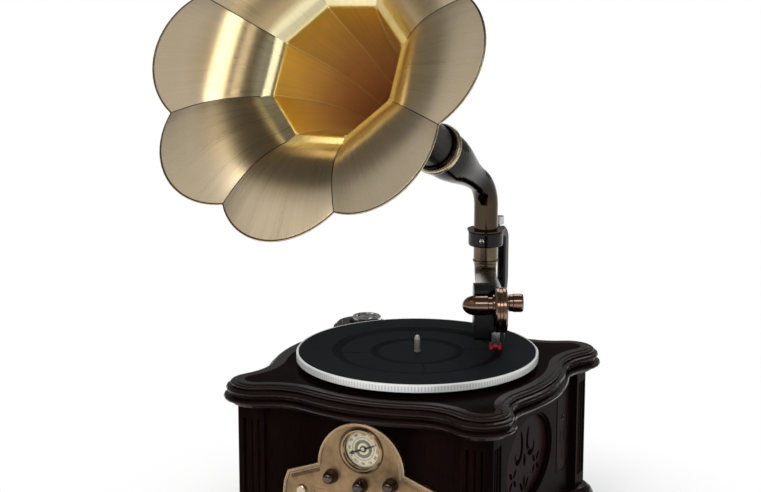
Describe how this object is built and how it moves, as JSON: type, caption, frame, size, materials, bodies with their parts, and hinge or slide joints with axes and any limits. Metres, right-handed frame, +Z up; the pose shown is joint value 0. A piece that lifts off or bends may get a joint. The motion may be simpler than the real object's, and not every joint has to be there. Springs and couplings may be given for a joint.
{
  "type": "gramophone",
  "caption": "Square wooden table gramophone with a large petal horn on a bent elbow, a record turntable with a tone arm, a radio dial with knobs, a disc tray and pierced side grilles.",
  "frame": {"origin": "on the floor, below the platter's axis, in the middle of the body", "axes": "+Z up, -Y towards the front with the dial, +X towards the right side as seen from the front"},
  "size_m": [0.4726, 0.5723, 0.8336],
  "materials": {
    "body_wood": "satin dark brown stain",
    "panel_wood": "satin dark brown stain",
    "black_board": "matte black",
    "rubber_parts": "matte",
    "cloth": "woven",
    "black_metal": "satin black",
    "plate_brass": "antique brushed",
    "bright_brass": "polished",
    "dial_paper": "printed cream",
    "dial_glass": "clear",
    "pointer_black": "black",
    "knob_bronze": "dark antique",
    "black_plastic": "black",
    "board_green": "green",
    "steel": "brushed",
    "bearing_brass": "machined",
    "bright_metal": "polished",
    "mat_rubber": "ribbed matte",
    "arm_bronze": "dark bronze, polished",
    "stylus_red": "red",
    "elbow_bronze": "black bronze, glossy",
    "collar_brass": "polished",
    "horn_brass": "antique, radially brushed"
  },
  "bodies": {
    "cabinet": {"top_board": "body_wood", "top_moulding": "body_wood", "base_frame": "body_wood", "base_moulding": "body_wood", "corner_posts": "panel_wood", "front_panel": "panel_wood", "side_panels": "panel_wood", "back_panel": "black_board", "bottom_panel": "black_board", "feet": "rubber_parts", "grille_frets": "panel_wood", "grille_cloths": "cloth", "speakers": "black_metal", "front_plate": "plate_brass", "plate_border": "bright_brass", "dial_bezel": "bright_brass", "dial_face": "dial_paper", "dial_glass": "dial_glass", "control_pots": "black_metal", "socket_strip": "body_wood", "disc_drive": "black_plastic", "circuit_board": "board_green", "transformer": "steel", "mains_inlet": "black_plastic", "line_sockets": "steel", "motor": "black_metal", "platter_bearing": "bearing_brass", "drive_belt": "rubber_parts", "back_bracket": "black_metal", "clamp_ring": "black_metal", "adapter_peg": "bright_metal"},
    "turntable": {"platter": "bright_metal", "platter_mat": "mat_rubber", "spindle": "bright_metal"},
    "pulley": {"motor_pulley": "bearing_brass"},
    "arm_pivot": {"arm_sleeve": "arm_bronze"},
    "arm": {"arm_tube": "arm_bronze", "head_shell": "black_plastic", "sound_disc": "arm_bronze", "end_caps": "arm_bronze", "cartridge": "bright_metal", "stylus": "stylus_red", "finger_lift": "bright_metal"},
    "horn_elbow": {"elbow": "elbow_bronze", "elbow_collar": "collar_brass"},
    "horn": {"horn": "horn_brass", "horn_ferrule": "collar_brass"},
    "clamp_screw": {"thumb_screw": "bright_metal"},
    "volume_control": {"volume_knob": "knob_bronze"},
    "mode_control": {"mode_knob": "knob_bronze"},
    "tuning_control": {"tuning_knob": "knob_bronze"},
    "pointer": {"dial_pointer": "pointer_black"},
    "left_push": {"left_button": "bright_brass"},
    "right_push": {"right_button": "bright_brass"},
    "key_back": {"back_key": "bright_brass"},
    "key_play": {"play_key": "bright_brass"},
    "key_next": {"next_key": "bright_brass"},
    "tray": {"disc_tray": "black_plastic", "tray_front": "plate_brass"},
    "hole_adapter": {"adapter": "bright_metal"}
  },
  "joints": [
    {"name": "platter_turn", "type": "hinge", "parent": "cabinet", "child": "turntable", "pos_m": [0, 0, 0.252], "axis": [0, 0, 1], "continuous": true},
    {"name": "pulley_turn", "type": "hinge", "parent": "cabinet", "child": "pulley", "pos_m": [-0.082, 0.082, 0.22], "axis": [0, 0, 1], "continuous": true},
    {"name": "arm_swing", "type": "hinge", "parent": "cabinet", "child": "arm_pivot", "pos_m": [0, 0.224, 0.33], "axis": [0, 0, 1], "range_deg": [-13, 20]},
    {"name": "arm_lift", "type": "hinge", "parent": "arm_pivot", "child": "arm", "pos_m": [0, 0.224, 0.312], "axis": [-0.9003, -0.4352, 0], "range_deg": [0, 12]},
    {"name": "horn_swivel", "type": "hinge", "parent": "cabinet", "child": "horn_elbow", "pos_m": [0, 0.224, 0.35], "axis": [0, 0, 1], "range_deg": [-60, 60]},
    {"name": "horn_lift_off", "type": "slide", "parent": "horn_elbow", "child": "horn", "axis": [-0.1338, -0.8643, 0.4848], "range_m": [0, 0.06]},
    {"name": "clamp_screw_turn", "type": "hinge", "parent": "cabinet", "child": "clamp_screw", "pos_m": [0, 0.274, 0.36], "axis": [0, 0, 1], "range_deg": [-180, 180]},
    {"name": "volume_turn", "type": "hinge", "parent": "cabinet", "child": "volume_control", "pos_m": [-0.039, -0.17, 0.133], "axis": [0, -1, 0], "range_deg": [-150, 150]},
    {"name": "mode_turn", "type": "hinge", "parent": "cabinet", "child": "mode_control", "pos_m": [0, -0.17, 0.127], "axis": [0, -1, 0], "range_deg": [-60, 60]},
    {"name": "tuning_turn", "type": "hinge", "parent": "cabinet", "child": "tuning_control", "pos_m": [0.039, -0.17, 0.133], "axis": [0, -1, 0], "range_deg": [-150, 150]},
    {"name": "pointer_turn", "type": "hinge", "parent": "cabinet", "child": "pointer", "pos_m": [0, -0.157, 0.1705], "axis": [0, -1, 0], "range_deg": [-75, 75]},
    {"name": "left_push_in", "type": "slide", "parent": "cabinet", "child": "left_push", "axis": [0, 1, 0], "range_m": [0, 0.002], "stiffness_N_per_m": 250},
    {"name": "right_push_in", "type": "slide", "parent": "cabinet", "child": "right_push", "axis": [0, 1, 0], "range_m": [0, 0.002], "stiffness_N_per_m": 250},
    {"name": "key_back_press", "type": "slide", "parent": "cabinet", "child": "key_back", "axis": [0, 1, 0], "range_m": [0, 0.002], "stiffness_N_per_m": 250},
    {"name": "key_play_press", "type": "slide", "parent": "cabinet", "child": "key_play", "axis": [0, 1, 0], "range_m": [0, 0.002], "stiffness_N_per_m": 250},
    {"name": "key_next_press", "type": "slide", "parent": "cabinet", "child": "key_next", "axis": [0, 1, 0], "range_m": [0, 0.002], "stiffness_N_per_m": 250},
    {"name": "tray_slide", "type": "slide", "parent": "cabinet", "child": "tray", "axis": [0, -1, 0], "range_m": [0, 0.134]},
    {"name": "adapter_lift_off", "type": "slide", "parent": "cabinet", "child": "hole_adapter", "axis": [0, 0, 1], "range_m": [0, 0.03]}
  ],
  "couplings": [
    {"joint": "pulley_turn", "follows": "platter_turn", "ratio": 12},
    {"joint": "pointer_turn", "follows": "tuning_turn", "ratio": 0.5}
  ]
}
